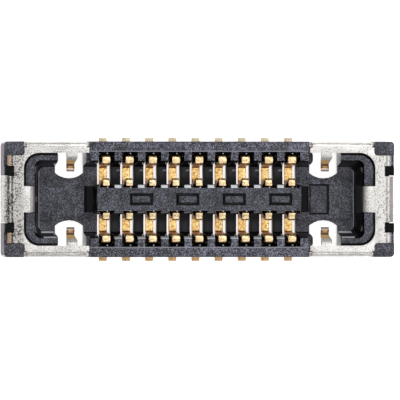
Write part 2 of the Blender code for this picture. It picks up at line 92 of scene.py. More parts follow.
MILLIMETRES = 1000.0
MOULD_RADIUS = 0.005
MERGE_GAP = 0.0002
FLAT_ANGLE = math.radians(0.5)
EDGE_ANGLE = math.radians(35)
EDGE_STEPS = 2
ISLAND_TOP = 0.505
GROOVE_FLOOR = 0.475
WALL_TOP = 0.53
WALL_END_X = 1.66
OUTER_WALL_X = 2.94
OUTER_WALL_Y = 0.865
FIRST_SLOT_X = 1.50
CAVITY_X = 2.40
POCKET_TOP = 0.09
KEY_START_X = 1.705
KEY_END_X = 2.005
KEY_Y = 0.23
KEY_TOP = 0.125
CORNER_SHADE = 0.04
SEAM_SHADE_WIDTH = 0.035
BOSS_START_X = 2.79
BOSS_END_Y = 0.5
RIM_START_X = 1.70
RIM_END_X = 2.65
RIM_SIDE_Y = 0.695
RIM_CORNER = 0.235
SLOT_END_Y = 0.72
FLOOR_EDGE_X = 2.378
FOOT_LINE = 0.008
FOOT_LINE_TOP = 0.2
CONTACT_PITCH = 0.35
CONTACT_CLEAR = 0.12
FIRST_PANEL_X = -0.875
PANEL_HALF_X = 0.1675
PANEL_HALF_Y = 0.0825
PANEL_GROOVE = 0.027
PANEL_SHADE = 0.008
PANEL_SOFTNESS = 0.002
CHAMFER_START_Y = 0.173
CHAMFER_END_Y = 0.215
TOOTH_END_Y = 0.578
EDGE_LINE = 0.012
GLINT_START_X = 2.15
GLINT_END_X = 2.34
FOOT_GLINT_START_Y = 0.485
FOOT_GLINT_END_Y = 0.500
FOOT_GLINT_TOP = 0.25
RIM_GLINT_START_Y = 0.560
RIM_GLINT_END_Y = 0.575
RIM_GLINT_BOTTOM = 0.45
RECESS_Y = 0.41
GLOW_START = 0.08
GLOW_FULL = 0.17
GLOW_REACH = 0.15
SOFT_EDGE = 0.006
FADE = 0.02
WIDE_FADE = 0.05
MIDDLE_FADE = 0.1
CLOUD_SCALE = 0.13
CLOUD_LOW = 0.3
CLOUD_HIGH = 0.7
CLOUD_SPECKS = 0.07
SPECKLESS_NOISE = 1.035
NEARLY_LEVEL = 0.88
LEVEL = 0.98
TOOTH_SHINE = 0.6
GLINT_SHINE = 0.8
HIGHLIGHT_LINE_SHARE = 0.6
KEY_SHADE = 0.3
OUTSIDE_SHADE = 0.35
POLISHED_ROUGHNESS = 0.05
SATIN_ROUGHNESS = 0.45
SHELTERED_METALLIC = 0.88
MOULDED_GRAIN_DEPTH = 0.000005
POLYMER_IOR = 1.5
SKIN_BLACK = (0.010, 0.0105, 0.015, 1.0)
DEEP_SHADE_BLACK = (0.006, 0.006, 0.007, 1.0)
FILLER_GREY = (0.155, 0.16, 0.215, 1.0)
WALL_GREY = (0.265, 0.275, 0.36, 1.0)
HIGHLIGHT_LINE_GREY = (0.36, 0.37, 0.42, 1.0)
LIT_GREY = (0.66, 0.68, 0.70, 1.0)
RECESS_GLOW_GREY = (0.024, 0.024, 0.026, 1.0)


def work_on(piece):
    bpy.ops.object.select_all(action="DESELECT")
    piece.select_set(True)
    bpy.context.view_layer.objects.active = piece


def copy_of_node(node, name):
    """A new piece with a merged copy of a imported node's mesh, enlarged to millimetres."""
    piece = bpy.data.objects.new(name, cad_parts[node].data.copy())
    bpy.context.scene.collection.objects.link(piece)
    work_on(piece)
    piece.data.materials.clear()
    piece.scale = (MILLIMETRES,) * 3
    bpy.ops.object.transform_apply(scale=True)
    bpy.ops.object.mode_set(mode="EDIT")
    bpy.ops.mesh.select_all(action="SELECT")
    bpy.ops.mesh.remove_doubles(threshold=MERGE_GAP)
    bpy.ops.mesh.dissolve_limited(angle_limit=FLAT_ANGLE)
    bpy.ops.object.mode_set(mode="OBJECT")
    return piece


def round_edges(piece, radius):
    bevel = piece.modifiers.new("rounded_edges", "BEVEL")
    bevel.width = radius
    bevel.segments = EDGE_STEPS
    bevel.limit_method = "ANGLE"
    bevel.angle_limit = EDGE_ANGLE
    work_on(piece)
    bpy.ops.object.modifier_apply(modifier=bevel.name)


def to_real_size(piece):
    work_on(piece)
    piece.scale = (1 / MILLIMETRES,) * 3
    bpy.ops.object.transform_apply(scale=True)
    bpy.ops.object.shade_smooth_by_angle(angle=EDGE_ANGLE)


def new_group(name, inputs, outputs):
    """A shader node group with float sockets. The inputs come with their usual values."""
    group = bpy.data.node_groups.new(name, "ShaderNodeTree")
    for label, value in inputs.items():
        socket = group.interface.new_socket(label, in_out="INPUT", socket_type="NodeSocketFloat")
        socket.default_value = value
    for label in outputs:
        group.interface.new_socket(label, in_out="OUTPUT", socket_type="NodeSocketFloat")
    return group, group.nodes.new("NodeGroupInput"), group.nodes.new("NodeGroupOutput")


def add(tree, kind, sockets=None, **settings):
    """A new node with its settings. Each socket gets a value, or a link where another socket is given."""
    node = tree.nodes.new(kind)
    for name, value in settings.items():
        setattr(node, name, value)
    for name, value in (sockets or {}).items():
        if isinstance(value, bpy.types.NodeSocket):
            tree.links.new(value, node.inputs[name])
        else:
            node.inputs[name].default_value = value
    return node


def maths(tree, operation, first, second):
    return add(tree, "ShaderNodeMath", {0: first, 1: second}, operation=operation).outputs[0]


def place_in_millimetres(tree):
    coordinates = add(tree, "ShaderNodeTexCoord")
    scale = (MILLIMETRES,) * 3
    mapping = add(tree, "ShaderNodeMapping", {"Vector": coordinates.outputs["Object"], "Scale": scale})
    return mapping.outputs["Vector"]


def ramp(tree, value, low, high):
    """A smooth step from 0 to 1 as the value goes from low to high."""
    node = add(
        tree,
        "ShaderNodeMapRange",
        {"Value": value, "From Min": low, "From Max": high},
        interpolation_type="SMOOTHSTEP",
    )
    return node.outputs["Result"]


def product(tree, *masks):
    """All of these masks together."""
    result = masks[0]
    for mask in masks[1:]:
        result = maths(tree, "MULTIPLY", result, mask)
    return result


def any_of(tree, *masks):
    """The strongest of these masks."""
    result = masks[0]
    for mask in masks[1:]:
        result = maths(tree, "MAXIMUM", result, mask)
    return result


def opposite(tree, mask):
    return maths(tree, "SUBTRACT", 1.0, mask)


def distance_from(tree, value, middle):
    return maths(tree, "ABSOLUTE", maths(tree, "SUBTRACT", value, middle), 0.0)


def band(tree, value, low, high):
    """1 between two values, with soft ends."""
    return product(tree, ramp(tree, value, low - SOFT_EDGE, low), ramp(tree, value, high + SOFT_EDGE, high))


def make_grain_group():
    """Fine grain: small specks, the slow clouding of a whole face, and a height for a bump.

    Share is how much of the surface the specks take, with a little more where the clouding is strong.
    Softness is how gently they fade.
    """
    usual = {"Grain Size": 0.02, "Share": 0.5, "Softness": 0.1}
    group, given, result = new_group("grain", usual, ["Specks", "Clouds", "Height"])
    spot = place_in_millimetres(group)
    fine_scale = maths(group, "DIVIDE", 1.0, given.outputs["Grain Size"])
    slow_scale = maths(group, "MULTIPLY", fine_scale, CLOUD_SCALE)
    ragged = {"Vector": spot, "Scale": fine_scale, "Detail": 5.0, "Roughness": 0.65}
    fine = add(group, "ShaderNodeTexNoise", ragged)
    slow = add(group, "ShaderNodeTexNoise", {"Vector": spot, "Scale": slow_scale, "Detail": 3.0})
    clouds = ramp(group, slow.outputs["Fac"], CLOUD_LOW, CLOUD_HIGH)
    centre = maths(group, "SUBTRACT", SPECKLESS_NOISE, given.outputs["Share"])
    centre = maths(group, "SUBTRACT", centre, maths(group, "MULTIPLY", clouds, CLOUD_SPECKS))
    low = maths(group, "SUBTRACT", centre, given.outputs["Softness"])
    high = maths(group, "ADD", centre, given.outputs["Softness"])
    group.links.new(ramp(group, fine.outputs["Fac"], low, high), result.inputs["Specks"])
    group.links.new(clouds, result.inputs["Clouds"])
    group.links.new(fine.outputs["Fac"], result.inputs["Height"])
    return group


def make_place_group():
    """Where a point is on the connector in millimetres: its distances from the middle and its height.

    Rear is 1 behind the long middle line. Off Contact and Off Panel are the distances along the row to
    the nearest contact and to the nearest panel on the island.
    """
    labels = ["Out X", "Out Y", "Height", "Rear", "Off Contact", "Off Panel"]
    group, _, result = new_group("place_on_connector", {}, labels)
    parts = add(group, "ShaderNodeSeparateXYZ", {"Vector": place_in_millimetres(group)})
    along, across, up = parts.outputs
    before_first = maths(group, "SUBTRACT", FIRST_PANEL_X, along)
    past_first = maths(group, "SUBTRACT", along, FIRST_PANEL_X)
    off_panel = maths(group, "PINGPONG", past_first, CONTACT_PITCH)
    for label, value in (
        ("Out X", maths(group, "ABSOLUTE", along, 0.0)),
        ("Out Y", maths(group, "ABSOLUTE", across, 0.0)),
        ("Height", up),
        ("Rear", ramp(group, across, -MIDDLE_FADE, MIDDLE_FADE)),
        ("Off Contact", maths(group, "PINGPONG", along, CONTACT_PITCH / 2)),
        ("Off Panel", maths(group, "MAXIMUM", off_panel, before_first)),
    ):
        group.links.new(value, result.inputs[label])
    return group


def use_group(tree, group, **values):
    """The outputs of a group that is placed in a material with its own values."""
    sockets = {label.replace("_", " "): value for label, value in values.items()}
    return add(tree, "ShaderNodeGroup", sockets, node_tree=group).outputs


def blend_colours(tree, share, first, second):
    node = tree.nodes.new("ShaderNodeMix")
    node.data_type = "RGBA"
    for socket, value in ((node.inputs[0], share), (node.inputs[6], first), (node.inputs[7], second)):
        if isinstance(value, bpy.types.NodeSocket):
            tree.links.new(value, socket)
        else:
            socket.default_value = value
    return node.outputs[2]


def blend_values(tree, share, first, second):
    node = add(tree, "ShaderNodeMapRange", {"Value": share, "To Min": first, "To Max": second})
    return node.outputs["Result"]


def upward(tree):
    """How far a face looks up: 1 where it is level, and 0 where it is upright."""
    facing = add(tree, "ShaderNodeNewGeometry")
    parts = add(tree, "ShaderNodeSeparateXYZ", {"Vector": facing.outputs["Normal"]})
    return parts.outputs["Z"]


def bump_from(tree, height, depth_metres):
    return add(tree, "ShaderNodeBump", {"Height": height, "Distance": depth_metres}).outputs["Normal"]


def new_material(name, metallic):
    made = bpy.data.materials.new(name)
    made.use_nodes = True
    shader = made.node_tree.nodes["Principled BSDF"]
    shader.inputs["Metallic"].default_value = metallic
    return made, made.node_tree, shader


grain = make_grain_group()
place = make_place_group()


def key_outline(tree, spot):
    """The shade along the four sides of the key pocket's floor."""
    low = ramp(tree, spot["Height"], KEY_TOP, KEY_TOP - MOULD_RADIUS)
    start = ramp(tree, spot["Out X"], KEY_START_X + CORNER_SHADE, KEY_START_X + CORNER_SHADE / 2)
    end = ramp(tree, spot["Out X"], KEY_END_X - CORNER_SHADE, KEY_END_X - CORNER_SHADE / 2)
    side = ramp(tree, spot["Out Y"], KEY_Y - CORNER_SHADE, KEY_Y - CORNER_SHADE / 2)
    return product(tree, any_of(tree, start, end, side), low)


def rim_seam_shade(tree, spot):
    """The painted shade in the seam between the rim of an end cavity and the plated sheet round it."""
    past_x = maths(tree, "SUBTRACT", spot["Out X"], RIM_END_X - RIM_CORNER)
    past_y = maths(tree, "SUBTRACT", spot["Out Y"], RIM_SIDE_Y - RIM_CORNER)
    past = {"X": maths(tree, "MAXIMUM", past_x, 0.0), "Y": maths(tree, "MAXIMUM", past_y, 0.0)}
    past = add(tree, "ShaderNodeCombineXYZ", past)
    reach = add(tree, "ShaderNodeVectorMath", {0: past.outputs["Vector"]}, operation="LENGTH")
    seam = band(tree, reach.outputs["Value"], RIM_CORNER - SEAM_SHADE_WIDTH, RIM_CORNER + MOULD_RADIUS)
    return product(tree, seam, ramp(tree, spot["Out X"], RIM_START_X, RIM_START_X + FADE))


def panel_outline(tree, spot):
    """The shade in and beside the groove round each panel on the island."""

    def inside(inset):
        half_x = PANEL_HALF_X - inset
        half_y = PANEL_HALF_Y - inset
        across = ramp(tree, spot["Off Panel"], half_x + PANEL_SOFTNESS, half_x - PANEL_SOFTNESS)
        along = ramp(tree, spot["Out Y"], half_y + PANEL_SOFTNESS, half_y - PANEL_SOFTNESS)
        return product(tree, across, along)

    ring = maths(tree, "SUBTRACT", inside(-PANEL_SHADE), inside(PANEL_GROOVE + PANEL_SHADE))
    return product(tree, ring, ramp(tree, spot["Out X"], FIRST_SLOT_X, FIRST_SLOT_X - FADE / 2))


def painted_edge_highlights(tree, spot):
    """Painted highlights on the mould's edges: outside the slots, and along the foot of each end floor."""
    row = ramp(tree, spot["Out X"], WALL_END_X, WALL_END_X - FADE)
    slots = band(tree, spot["Out Y"], SLOT_END_Y - MOULD_RADIUS, SLOT_END_Y + MOULD_RADIUS)
    foot = band(tree, spot["Out X"], FLOOR_EDGE_X - FOOT_LINE, FLOOR_EDGE_X + FOOT_LINE)
    low = ramp(tree, spot["Height"], FOOT_LINE_TOP + WIDE_FADE, FOOT_LINE_TOP)
    return any_of(tree, product(tree, slots, row), product(tree, foot, low))


def row_edges(tree, spot, between_ends):
    """Painted highlights where the island's rear chamfer and the front row's teeth catch the light."""
    chamfer = band(tree, spot["Out Y"], CHAMFER_START_Y, CHAMFER_END_Y)
    clear = ramp(tree, spot["Off Contact"], CONTACT_CLEAR, CONTACT_CLEAR + EDGE_LINE)
    chamfer = product(tree, chamfer, clear, spot["Rear"])
    teeth = band(tree, spot["Out Y"], TOOTH_END_Y - FADE, TOOTH_END_Y + EDGE_LINE)
    teeth = product(tree, teeth, opposite(tree, spot["Rear"]), TOOTH_SHINE)
    high = ramp(tree, spot["Height"], GROOVE_FLOOR - FADE, GROOVE_FLOOR)
    return product(tree, any_of(tree, chamfer, teeth), between_ends, high)


def front_glints(tree, spot):
    """Two painted highlights at the front of each end floor: its edge, and the rim's lead-in above it."""
    along = band(tree, spot["Out X"], GLINT_START_X, GLINT_END_X)
    low = ramp(tree, spot["Height"], FOOT_GLINT_TOP + WIDE_FADE, FOOT_GLINT_TOP)
    high = ramp(tree, spot["Height"], RIM_GLINT_BOTTOM - WIDE_FADE, RIM_GLINT_BOTTOM)
    foot = product(tree, band(tree, spot["Out Y"], FOOT_GLINT_START_Y, FOOT_GLINT_END_Y), low)
    rim = product(tree, band(tree, spot["Out Y"], RIM_GLINT_START_Y, RIM_GLINT_END_Y), high)
    return product(tree, any_of(tree, foot, rim), along, opposite(tree, spot["Rear"]), GLINT_SHINE)


def recess_glow(tree, spot, recess, flat):
    """A painted pale glow in the middle of each floor between two contacts, where a little light reaches."""
    off_contact = ramp(tree, spot["Off Contact"], GLOW_START, GLOW_FULL)
    from_middle = distance_from(tree, spot["Out Y"], RECESS_Y)
    return product(tree, off_contact, ramp(tree, from_middle, GLOW_REACH, FADE), recess, flat)


def satin_skin(tree, spot, specks, outside):
    """The colour of the satin faces: paler specks on the side walls' tops, painted shade on the outer
    faces, and darker in the key pocket.
    """
    wall = ramp(tree, spot["Height"], ISLAND_TOP + MOULD_RADIUS, WALL_TOP)
    wall = product(tree, wall, ramp(tree, spot["Out X"], WALL_END_X + FADE / 2, WALL_END_X))
    filler = blend_colours(tree, wall, FILLER_GREY, WALL_GREY)
    skin = blend_colours(tree, specks, SKIN_BLACK, filler)
    key = product(
        tree,
        band(tree, spot["Out X"], KEY_START_X, KEY_END_X),
        ramp(tree, spot["Out Y"], KEY_Y, KEY_Y - FADE / 2),
        ramp(tree, spot["Height"], KEY_TOP, KEY_TOP - MOULD_RADIUS),
        KEY_SHADE,
    )
    darker = any_of(tree, key, product(tree, outside, OUTSIDE_SHADE))
    skin = blend_colours(tree, darker, skin, SKIN_BLACK)
    # Painted highlight lines along the mould's edges go over the skin.
    return blend_colours(tree, product(tree, painted_edge_highlights(tree, spot), HIGHLIGHT_LINE_SHARE), skin, HIGHLIGHT_LINE_GREY)


def moulded_black():
    """Black polymer. Level outer faces are satin with pale specks, and steep or deep ones are smooth.
    Steep, deep and sunk faces, the pockets, the bosses and the outlines are painted near black as shade,
    and some edges get painted highlights.

    Sheltered faces have a raised metallic value, which takes the plain gloss off them and leaves only
    the weak reflection of their own dark colour.
    """
    made, tree, shader = new_material("moulded_black", 0.0)
    specks = use_group(tree, grain, Grain_Size=0.02, Share=0.45)
    spot = use_group(tree, place)
    side_y = ramp(tree, spot["Out Y"], OUTER_WALL_Y - FADE, OUTER_WALL_Y - MOULD_RADIUS)
    side_x = ramp(tree, spot["Out X"], OUTER_WALL_X - FADE, OUTER_WALL_X - MOULD_RADIUS)
    outside = any_of(tree, side_x, side_y)
    flat = ramp(tree, upward(tree), NEARLY_LEVEL, LEVEL)
    level = any_of(tree, flat, outside)
    between_ends = ramp(tree, spot["Out X"], FIRST_SLOT_X + FADE / 2, FIRST_SLOT_X)
    past_end = ramp(tree, spot["Out X"], CAVITY_X - FADE, CAVITY_X - FADE / 2)
    boss_x = ramp(tree, spot["Out X"], BOSS_START_X - FADE, BOSS_START_X)
    boss = product(tree, boss_x, ramp(tree, spot["Out Y"], BOSS_END_Y + WIDE_FADE, BOSS_END_Y))
    sunk = ramp(tree, spot["Height"], ISLAND_TOP - FADE / 2, GROOVE_FLOOR + MOULD_RADIUS)
    pocket = ramp(tree, spot["Height"], POCKET_TOP, POCKET_TOP - FADE)
    recess = product(tree, between_ends, sunk)
    outlines = any_of(tree, key_outline(tree, spot), rim_seam_shade(tree, spot), panel_outline(tree, spot))
    # The smooth places also take a painted shade, near black, in their colour below.
    smooth_and_shaded = any_of(tree, recess, product(tree, past_end, sunk), pocket, boss, outlines)
    smooth_and_shaded = product(tree, smooth_and_shaded, opposite(tree, outside))
    satin = product(tree, level, opposite(tree, smooth_and_shaded))
    lit = any_of(tree, row_edges(tree, spot, between_ends), front_glints(tree, spot))
    # Painted shade, near black, on the faces that aren't satin, with a painted glow between the contacts.
    deep = blend_colours(tree, recess_glow(tree, spot, recess, flat), DEEP_SHADE_BLACK, RECESS_GLOW_GREY)
    skin = satin_skin(tree, spot, specks["Specks"], outside)
    colour = blend_colours(tree, lit, blend_colours(tree, satin, deep, skin), LIT_GREY)
    tree.links.new(colour, shader.inputs["Base Color"])
    roughness = blend_values(tree, any_of(tree, satin, lit), POLISHED_ROUGHNESS, SATIN_ROUGHNESS)
    tree.links.new(roughness, shader.inputs["Roughness"])
    end_slopes = product(tree, past_end, opposite(tree, level))
    sheltered = any_of(tree, product(tree, flat, smooth_and_shaded), end_slopes)
    tree.links.new(blend_values(tree, sheltered, 0.0, SHELTERED_METALLIC), shader.inputs["Metallic"])
    relief = product(tree, specks["Height"], satin)
    tree.links.new(bump_from(tree, relief, MOULDED_GRAIN_DEPTH), shader.inputs["Normal"])
    shader.inputs["IOR"].default_value = POLYMER_IOR
    return made


housing = copy_of_node("housing", "moulded_housing")
round_edges(housing, MOULD_RADIUS)
to_real_size(housing)
housing.data.materials.append(moulded_black())
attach(housing, "root")
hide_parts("housing")

# The contacts
# Eighteen narrow strips of copper alloy, stamped and formed on one tool and plated with gold. Each goes
# into its slot from below, is held by the barbs on its riser, and ends in the sprung tip at the island.

CONTACT_STOCK = 0.05
CONTACT_WIDTH = 0.12
BARB_WIDTH = 0.22
BARB_HEIGHT = 0.06
BARB_DROP = 0.04
TIP_WIDTH = 0.10
TAIL_BEND = 0.045
TAIL_END = 0.925
RISER_Y = 0.6575
RISER_BEND_HEIGHT = 0.17
RISER_LEAN = 4.0
LEG_SPACING = 0.10
LEG_LEAN = 5.0
SPRING_BEND = 0.045
ARM_Y = 0.198
ARM_LEAN = 16.5
NOSE_BEND = 0.035
NOSE_TURN = 90.0
TIP_LENGTH = 0.07
TIP_DROP = 0.015
CONTACT_LIFT = 0.01
CONTACT_TOP = 0.5
STAMPED_EDGE = 0.007
TAIL_START_Y = 0.78
TAIL_FULL_Y = 0.86
LOW_GOLD = 0.1
HIGH_GOLD = 0.4
STEEP = 0.2
GENTLE = 0.7
ARM_SHADE_REACH = 0.07
ARM_SHADE_TOP = 0.37
ARM_FADE = 0.04
ARM_SHADE = 0.85
RISER_SHADE_TOP = 0.465
AMBER_SHARE = 0.7
BRIGHT_ROUGHNESS = 0.25
DULL_ROUGHNESS = 0.45
PLATING_GRAIN_DEPTH = 0.0000025
BEND_STEPS = 8
LEAN_STEPS = 2
CROWN_STEPS = 20
NOSE_STEPS = 12
GOLD = (0.95, 0.75, 0.45, 1.0)
SLOT_SHADE_GOLD = (1.0, 0.74, 0.32, 1.0)
WORN_GOLD = (0.58, 0.25, 0.06, 1.0)
SHADED_GOLD = (0.62, 0.28, 0.09, 1.0)
AMBER_GOLD = (0.86, 0.52, 0.22, 1.0)
ARM_SHADE_BROWN = (0.33, 0.13, 0.04, 1.0)
SLOT_SHADOW_GOLD = (0.03, 0.02, 0.01, 1.0)
REAR_TAIL = (0.72, 0.62, 0.45, 1.0)
FRONT_TAIL = (0.66, 0.43, 0.22, 1.0)


def select_edges(piece, low, high):
    """Selects the edges that lie wholly between two corners."""
    bpy.ops.mesh.select_all(action="DESELECT")
    mesh = bmesh.from_edit_mesh(piece.data)
    for edge in mesh.edges:
        ends = [vert.co[axis] for axis in range(3) for vert in edge.verts]
        lows = [low[axis] - MERGE_GAP for axis in range(3) for vert in edge.verts]
        highs = [high[axis] + MERGE_GAP for axis in range(3) for vert in edge.verts]
        edge.select_set(all(a <= b <= c for a, b, c in zip(lows, ends, highs)))
    bmesh.update_edit_mesh(piece.data)


def run(pen, reach, width_share=1.0):
    """Draws the strip's end edge straight on, and widens or narrows it. A pen is across, up, heading."""
    across, up, heading = pen
    step_y = reach * math.cos(math.radians(heading))
    step_z = reach * math.sin(math.radians(heading))
    bpy.ops.mesh.extrude_region_move(TRANSFORM_OT_translate={"value": (0.0, step_y, step_z)})
    across += step_y
    up += step_z
    bpy.ops.transform.resize(value=(width_share, 1.0, 1.0), center_override=(0.0, across, up))
    return across, up, heading


def turn(pen, radius, degrees, steps):
    """Bends the strip left by so many degrees, or right where they are negative."""
    across, up, heading = pen
    side = math.copysign(90.0, degrees)
    to_centre = math.radians(heading + side)
    centre_y = across + radius * math.cos(to_centre)
    centre_z = up + radius * math.sin(to_centre)
    bpy.ops.mesh.spin(
        steps=steps,
        angle=-math.radians(degrees),
        center=(0.0, centre_y, centre_z),
        axis=(1.0, 0.0, 0.0),
    )
    spoke = math.radians(heading + degrees - side)
    return centre_y + radius * math.cos(spoke), centre_z + radius * math.sin(spoke), heading + degrees


def formed_contact():
    """One contact of the rear row, on the middle line of its strip from the tail to the tip."""
    half_stock = CONTACT_STOCK / 2
    flat = TAIL_END - RISER_Y - TAIL_BEND
    bpy.ops.object.select_all(action="DESELECT")
    bpy.ops.mesh.primitive_plane_add(size=1.0, location=(0.0, TAIL_END - flat / 2, half_stock))
    strip = bpy.context.active_object
    strip.scale = (CONTACT_WIDTH, flat, 1.0)
    bpy.ops.object.transform_apply(location=True, scale=True)
    bpy.ops.object.mode_set(mode="EDIT")
    bpy.ops.mesh.select_mode(type="EDGE")
    end = (TAIL_END - flat, half_stock)
    select_edges(strip, (-CONTACT_WIDTH / 2, *end), (CONTACT_WIDTH / 2, *end))
    pen = turn((TAIL_END - flat, half_stock, 180.0), TAIL_BEND, -90.0, BEND_STEPS)

    pen = run(pen, RISER_BEND_HEIGHT - pen[1])
    pen = turn(pen, TAIL_BEND, RISER_LEAN, LEAN_STEPS)
    crown_radius = LEG_SPACING / 2
    lean = math.radians(RISER_LEAN)
    crown_start = CONTACT_TOP - half_stock - crown_radius * (1.0 - math.sin(lean))
    riser = (crown_start - pen[1]) / math.cos(lean)
    pen = run(pen, riser - BARB_HEIGHT - BARB_DROP)
    third = BARB_HEIGHT / 3
    pen = run(pen, third, BARB_WIDTH / CONTACT_WIDTH)
    pen = run(pen, third)
    pen = run(pen, third, CONTACT_WIDTH / BARB_WIDTH)
    pen = run(pen, BARB_DROP)
    pen = turn(pen, crown_radius, 180.0 - LEG_LEAN - RISER_LEAN, CROWN_STEPS)

    trough = CONTACT_LIFT + half_stock
    descent = math.radians(90.0 - LEG_LEAN)
    drop = pen[1] - trough - SPRING_BEND * (1.0 - math.cos(descent))
    pen = run(pen, drop / math.sin(descent))
    pen = turn(pen, SPRING_BEND, LEG_LEAN - 90.0, BEND_STEPS)
    pen = run(pen, pen[0] - ARM_Y - SPRING_BEND * math.cos(math.radians(ARM_LEAN)))
    pen = turn(pen, SPRING_BEND, -90.0 - ARM_LEAN, BEND_STEPS)

    arm_heading = math.radians(pen[2])
    tip_heading = math.radians(pen[2] + NOSE_TURN)
    nose_rise = NOSE_BEND * (math.cos(arm_heading) - math.cos(tip_heading))
    tip_rise = TIP_LENGTH * math.sin(tip_heading)
    arm_rise = CONTACT_TOP - TIP_DROP - half_stock - pen[1] - nose_rise - tip_rise
    pen = run(pen, arm_rise / math.sin(arm_heading), TIP_WIDTH / CONTACT_WIDTH)
    pen = turn(pen, NOSE_BEND, NOSE_TURN, NOSE_STEPS)
    run(pen, TIP_LENGTH)
    bpy.ops.mesh.select_all(action="SELECT")
    bpy.ops.mesh.remove_doubles(threshold=MERGE_GAP)
    bpy.ops.mesh.normals_make_consistent(inside=False)
    bpy.ops.object.mode_set(mode="OBJECT")
    sheet_thickness(strip, CONTACT_STOCK, 0.0)
    round_edges(strip, STAMPED_EDGE)
    return strip


def sheet_thickness(piece, thickness, offset, rim_slot=0):
    """Gives a folded skin its thickness. Its cut edges can take the piece's next material."""
    solid = piece.modifiers.new("sheet", "SOLIDIFY")
    solid.thickness = thickness
    solid.offset = offset
    solid.use_even_offset = True
    solid.material_offset_rim = rim_slot
    work_on(piece)
    bpy.ops.object.modifier_apply(modifier=solid.name)


def gold_plating():
    """Gold over nickel, thin and dull on the solder tails. Down in the slots it is painted warmer and
    darker, and steep faces, the arm near the island, the barbs and the riser's bend get painted shade.
    """
    made, tree, shader = new_material("gold_plating", 1.0)
    specks = use_group(tree, grain, Grain_Size=0.02, Share=0.5)
    wear = use_group(tree, grain, Grain_Size=0.035, Share=0.45)
    spot = use_group(tree, place)
    # Painted warm shade low in the slots, where light bounces between gold faces; its specks are wear.
    low_colour = blend_colours(tree, wear["Specks"], SLOT_SHADE_GOLD, WORN_GOLD)
    high_colour = blend_colours(tree, product(tree, wear["Specks"], AMBER_SHARE), GOLD, AMBER_GOLD)
    high = ramp(tree, spot["Height"], LOW_GOLD, HIGH_GOLD)
    colour = blend_colours(tree, high, low_colour, high_colour)
    # Painted shade on the steep faces.
    colour = blend_colours(tree, ramp(tree, upward(tree), GENTLE, STEEP), colour, SHADED_GOLD)
    # Painted shade, brown to near black, on the arm's lower part near the island.
    arm_y = ARM_Y + ARM_SHADE_REACH
    arm = product(
        tree,
        ramp(tree, spot["Out Y"], arm_y + ARM_FADE, arm_y),
        ramp(tree, spot["Height"], ARM_SHADE_TOP + ARM_FADE, ARM_SHADE_TOP),
        ARM_SHADE,
    )
    arm_shade_colour = blend_colours(tree, wear["Specks"], ARM_SHADE_BROWN, SLOT_SHADOW_GOLD)
    colour = blend_colours(tree, arm, colour, arm_shade_colour)
    # Painted shadow, near black, on the riser's bend below the crown and on the barbs in the slot.
    riser = band(tree, spot["Out Y"], RISER_Y - MOULD_RADIUS, RISER_Y + CONTACT_STOCK)
    riser = product(tree, riser, ramp(tree, spot["Height"], RISER_SHADE_TOP + FADE, RISER_SHADE_TOP))
    past_strip = CONTACT_WIDTH / 2 + PANEL_SOFTNESS
    barb = ramp(tree, spot["Off Contact"], past_strip, past_strip + SOFT_EDGE)
    colour = blend_colours(tree, any_of(tree, riser, barb), colour, SLOT_SHADOW_GOLD)
    tail_colour = blend_colours(tree, spot["Rear"], FRONT_TAIL, REAR_TAIL)
    tail = ramp(tree, spot["Out Y"], TAIL_START_Y, TAIL_FULL_Y)
    tree.links.new(blend_colours(tree, tail, colour, tail_colour), shader.inputs["Base Color"])
    roughness = blend_values(tree, specks["Specks"], BRIGHT_ROUGHNESS, DULL_ROUGHNESS)
    tree.links.new(roughness, shader.inputs["Roughness"])
    tree.links.new(bump_from(tree, specks["Height"], PLATING_GRAIN_DEPTH), shader.inputs["Normal"])
    return made


first_contact = formed_contact()
gold = gold_plating()
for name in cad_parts:
    if not name.startswith("contact_"):
        continue
    low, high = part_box(name)
    contact = bpy.data.objects.new("formed_" + name, first_contact.data.copy())
    bpy.context.scene.collection.objects.link(contact)
    contact.location.x = (low.x + high.x) / 2 * MILLIMETRES
    if high.y < 0:
        contact.rotation_euler.z = math.pi
    work_on(contact)
    bpy.ops.object.transform_apply(location=True, rotation=True)
    to_real_size(contact)
    contact.data.materials.append(gold)
    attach(contact, "root")
    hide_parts(name)
bpy.data.objects.remove(first_contact)

# The end fittings
# Each is one blank of copper alloy sheet with a matte pale plating, folded round the end of the housing.
# Its two fingers hang in the end openings with gold plated tips, and its cut edges show the copper.

SHEET = 0.06
FOLD_RADIUS = 0.09
STRIP_START_X = 1.665
HALF_LENGTH = 2.94
HALF_WIDTH = 0.865
STRIP_END_X = HALF_LENGTH - 0.305
STRIP_INNER_Y = HALF_WIDTH - 0.17
LEG_RELIEF = 0.035
PLATE_INNER_X = HALF_LENGTH - 0.29
PLATE_CORNER = 0.235
BLOCK_CORNER = 0.05
BLOCK_Y = HALF_WIDTH - 0.21
PLATE_EDGE_X = HALF_LENGTH - 0.05
BOSS_X = HALF_LENGTH - 0.15
BOSS_INNER_Y = 0.345
BOSS_OUTER_Y = 0.5
TAB_Y = 0.195
TAB_FACE_X = 2.475
TAB_BOTTOM = 0.22
OPENING_X = 1.92
FINGER_ROOT_WIDTH = 0.165
FINGER_TIP_WIDTH = 0.12
FINGER_ROOT_BEND = 0.09
FINGER_SLOPE = 68.0
FINGER_LENGTH = 0.19
FINGER_TIP_BEND = 0.035
FINGER_CURL = 50.0
FINGER_LIP = 0.03
FITTING_TOP = 0.56
SHEARED_EDGE = 0.006
FINGER_END_X = 2.2
FINGER_FADE = 0.1
GOLD_START_Y = 0.60
GOLD_FULL_Y = 0.57
TIP_BEND_START_Y = 0.50
TIP_BEND_END_Y = 0.53
TIP_HALF_WIDTH = 0.03
TIP_SIDE_FADE = 0.015
TIP_LIP_Y = 0.45
MARK_AND_SHADE_START_HEIGHT = 0.42
MARK_AND_SHADE_FULL_HEIGHT = 0.46
SIDE_SHADE_START_Y = 0.77
SIDE_SHADE_FULL_Y = 0.80
